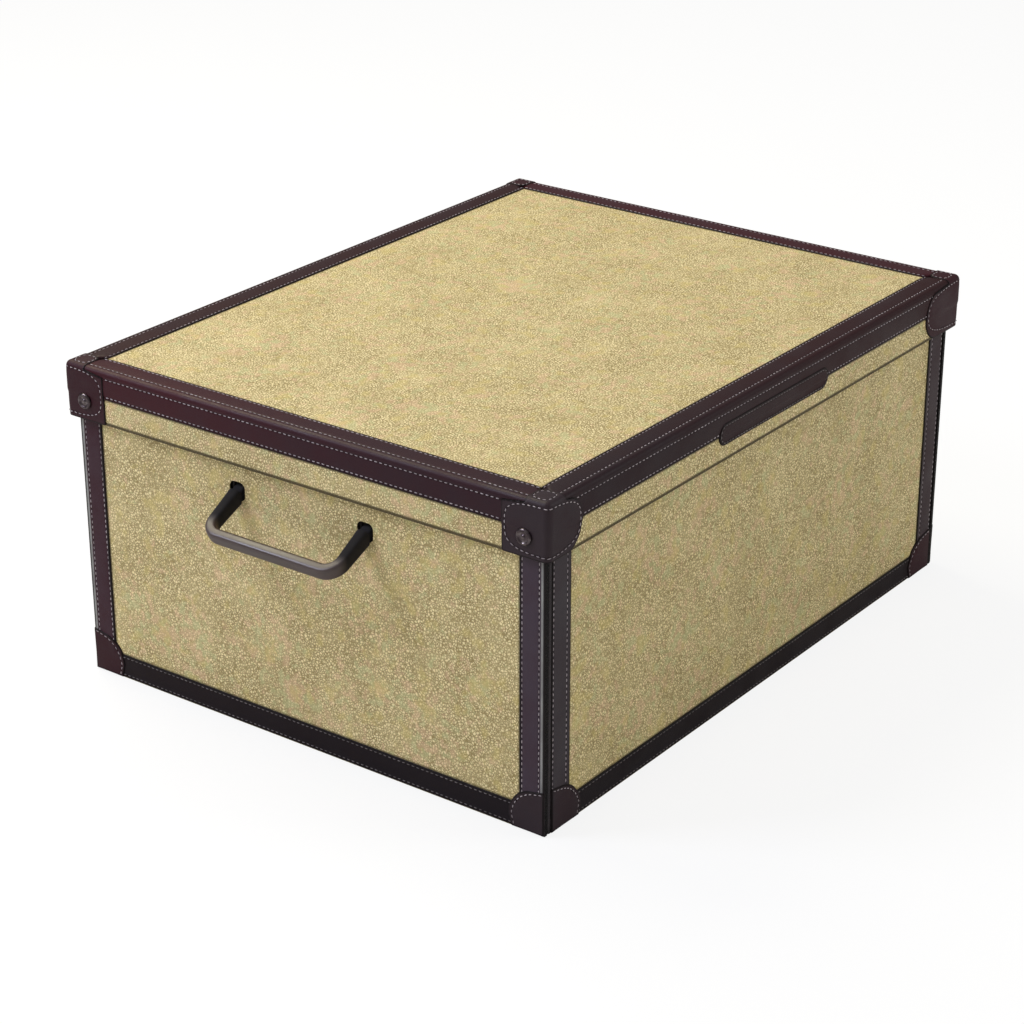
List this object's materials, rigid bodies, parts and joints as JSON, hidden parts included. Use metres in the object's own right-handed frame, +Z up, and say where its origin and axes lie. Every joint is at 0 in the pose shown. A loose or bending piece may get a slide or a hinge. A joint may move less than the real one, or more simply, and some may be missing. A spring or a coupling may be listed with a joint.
{
  "type": "storage box with lid",
  "caption": "Rectangular board storage box with a lift-off lid, stitched edge trim, riveted lid corners and a swinging bail handle on each short end.",
  "frame": {"origin": "centre of the base, on the surface that the box stands on", "axes": "+X along the box, from the left handle to the right one; +Y from the long side with the label to the other; +Z up"},
  "size_m": [0.559, 0.3912, 0.2263],
  "materials": {
    "board_cover": "satin",
    "edge_trim": "satin",
    "label": "satin",
    "handle_plastic": "satin",
    "anchor_plastic": "matte",
    "rivet_metal": "satin",
    "rivet_back_metal": "satin"
  },
  "bodies": {
    "root": {"body_tray": "board_cover", "bottom_strip_back": "edge_trim", "bottom_strip_front": "edge_trim", "bottom_strip_left": "edge_trim", "bottom_strip_right": "edge_trim", "end_patch_left_back": "edge_trim", "end_patch_left_front": "edge_trim", "end_patch_right_back": "edge_trim", "end_patch_right_front": "edge_trim", "end_strip_left_back": "edge_trim", "end_strip_left_front": "edge_trim", "end_strip_right_back": "edge_trim", "end_strip_right_front": "edge_trim", "handle_anchor_left": "anchor_plastic", "handle_anchor_right": "anchor_plastic", "side_patch_left_back": "edge_trim", "side_patch_left_front": "edge_trim", "side_patch_right_back": "edge_trim", "side_patch_right_front": "edge_trim", "side_strip_left_back": "edge_trim", "side_strip_left_front": "edge_trim", "side_strip_right_back": "edge_trim", "side_strip_right_front": "edge_trim"},
    "lid": {"label_patch": "label", "lid_corner_left_back": "edge_trim", "lid_corner_left_front": "edge_trim", "lid_corner_right_back": "edge_trim", "lid_corner_right_front": "edge_trim", "lid_rivets": "rivet_metal", "lid_strip_back": "edge_trim", "lid_strip_front": "edge_trim", "lid_strip_left": "edge_trim", "lid_strip_right": "edge_trim", "lid_tray": "board_cover", "rivet_backs": "rivet_back_metal"},
    "handle_left": {"handle_left": "handle_plastic"},
    "handle_right": {"handle_right": "handle_plastic"}
  },
  "joints": [
    {"name": "lid_lift", "type": "slide", "parent": "root", "child": "lid", "axis": [0, 0, 1], "range_m": [0, 0.12]},
    {"name": "handle_left_swing", "type": "hinge", "parent": "root", "child": "handle_left", "pos_m": [-0.2355, 0, 0.17], "axis": [0, 1, 0], "range_deg": [0, 29]},
    {"name": "handle_right_swing", "type": "hinge", "parent": "root", "child": "handle_right", "pos_m": [0.2355, 0, 0.17], "axis": [0, -1, 0], "range_deg": [0, 29]}
  ]
}
